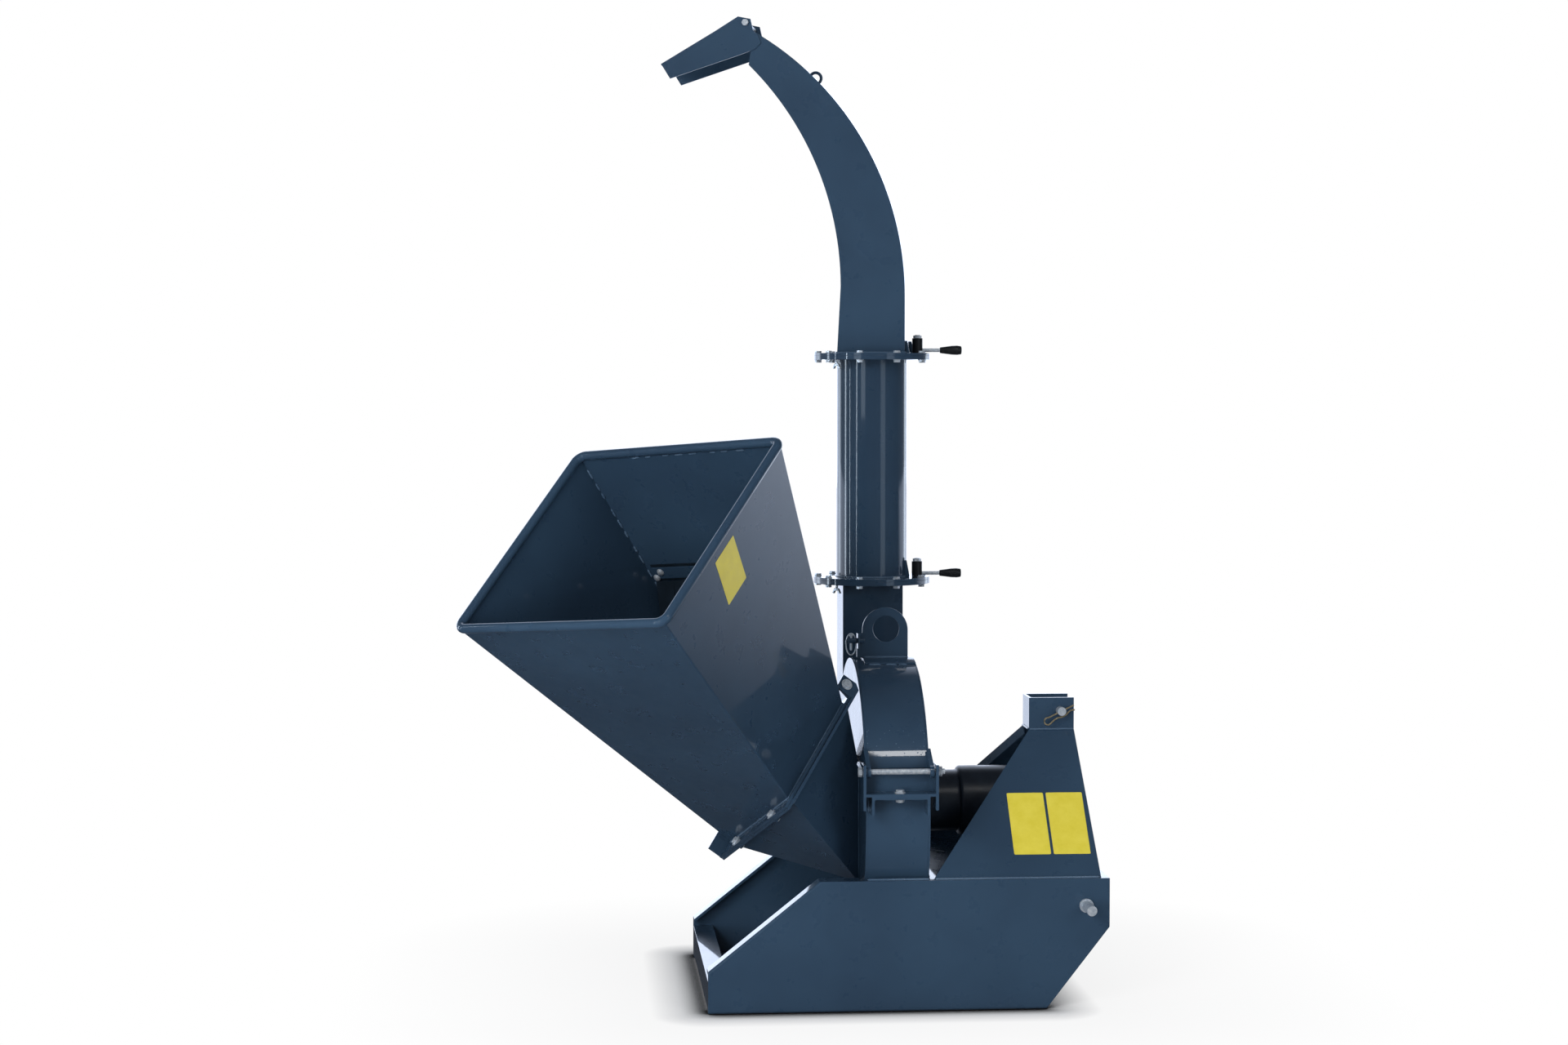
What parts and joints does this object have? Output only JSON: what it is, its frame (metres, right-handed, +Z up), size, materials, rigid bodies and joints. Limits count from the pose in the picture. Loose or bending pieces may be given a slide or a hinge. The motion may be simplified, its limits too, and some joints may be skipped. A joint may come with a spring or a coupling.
{
  "type": "wood chipper",
  "caption": "Three-point-hitch disc wood chipper with a folding feed hopper, hinged rotor housing, spinning knife disc and a swivelling discharge chute with tilting deflector.",
  "frame": {"origin": "on the ground, below the rotor's axis and midway between the side panels", "axes": "+X towards the drive and hitch end, +Y to the far side in the picture, +Z up"},
  "size_m": [1.378, 1.349, 2.1714],
  "materials": {
    "paint": "gloss",
    "zinc": "satin",
    "bare_steel": "satin",
    "casting": "satin",
    "plastic": "satin",
    "rubber": "matte",
    "clip_wire": "satin"
  },
  "bodies": {
    "frame": {"side_panel_near": "paint", "side_panel_far": "paint", "rear_cross_member": "paint", "front_cross_member": "paint", "deck_plate": "paint", "floor_strap": "paint", "lower_hitch_pins": "zinc", "mast_plate_near": "paint", "mast_plate_far": "paint", "top_link_bracket": "paint", "lower_front_plate": "paint", "lower_rear_plate": "paint", "lower_rim": "paint", "split_flange": "paint", "hinge_bracket": "paint", "hinge_rod": "zinc", "housing_bolts": "zinc", "front_bearing": "casting", "rear_bearing": "casting", "drive_guard": "plastic", "bed_knife": "bare_steel", "feed_throat": "paint", "throat_flange": "paint"},
    "rotor": {"rotor_shaft": "bare_steel", "rotor_disc": "bare_steel", "fan_paddles": "bare_steel", "knives": "zinc", "knife_bolts": "zinc"},
    "upper_housing": {"upper_front_plate": "paint", "upper_rear_plate": "paint", "upper_rim": "paint", "hinge_knuckle": "paint", "lifting_lug": "paint", "duct_flange": "paint"},
    "lock_pin": {"lock_pin": "zinc"},
    "discharge": {"discharge_pipe": "paint", "pipe_foot_flange": "paint", "lower_keeper_ring": "paint", "lower_swivel_bolts": "zinc"},
    "chute": {"chute_flange": "paint", "upper_keeper_ring": "paint", "upper_swivel_bolts": "zinc", "chute_sides": "paint", "chute_bands": "paint", "deflector_bolts": "zinc"},
    "deflector": {"deflector": "paint"},
    "lower_clamp": {"lower_clamp": "plastic", "lower_grip": "plastic"},
    "upper_clamp": {"upper_clamp": "plastic", "upper_grip": "plastic"},
    "hopper": {"hopper_floor": "paint", "hopper_near_wall": "paint", "hopper_roof": "paint", "hopper_far_wall": "paint", "hopper_rim": "paint", "hopper_flange": "paint", "hopper_bolts": "zinc", "infeed_curtain": "rubber"},
    "top_link_pin": {"top_link_pin": "zinc"},
    "top_link_clip": {"top_link_clip": "clip_wire"}
  },
  "joints": [
    {"name": "rotor_spin", "type": "hinge", "parent": "frame", "child": "rotor", "pos_m": [0, 0, 0.404], "axis": [1, 0, 0], "continuous": true},
    {"name": "housing_open", "type": "hinge", "parent": "frame", "child": "upper_housing", "pos_m": [0, -0.35, 0.516], "axis": [1, 0, 0], "range_deg": [0, 90]},
    {"name": "pipe_swivel", "type": "hinge", "parent": "upper_housing", "child": "discharge", "pos_m": [0.004, 0.2515, 0.876], "axis": [0, 0, 1], "continuous": true},
    {"name": "chute_swivel", "type": "hinge", "parent": "discharge", "child": "chute", "pos_m": [0.004, 0.2515, 1.39], "axis": [0, 0, 1], "continuous": true},
    {"name": "deflector_tilt", "type": "hinge", "parent": "chute", "child": "deflector", "pos_m": [-0.27265, 0.3103, 2.15738], "axis": [0.2079, 0.9781, 0], "range_deg": [-40, 45]},
    {"name": "hopper_fold", "type": "hinge", "parent": "frame", "child": "hopper", "pos_m": [-0.10598, -0.17948, 0.67513], "axis": [-0.3582, 0.79, -0.4976], "range_deg": [0, 35]},
    {"name": "lower_clamp_turn", "type": "hinge", "parent": "discharge", "child": "lower_clamp", "pos_m": [0.10779, 0.23562, 0.891], "axis": [0, 0, 1], "range_deg": [-45, 45]},
    {"name": "upper_clamp_turn", "type": "hinge", "parent": "chute", "child": "upper_clamp", "pos_m": [0.10779, 0.23562, 1.405], "axis": [0, 0, 1], "range_deg": [-45, 45]},
    {"name": "lock_pin_pull", "type": "slide", "parent": "upper_housing", "child": "lock_pin", "axis": [-1, 0, 0], "range_m": [0, 0.03]},
    {"name": "top_link_pin_play", "type": "slide", "parent": "frame", "child": "top_link_pin", "axis": [0, 1, 0], "range_m": [0, 0.007]},
    {"name": "clip_pull", "type": "slide", "parent": "top_link_pin", "child": "top_link_clip", "axis": [-0.8988, 0, -0.4384], "range_m": [0, 0.04]}
  ]
}
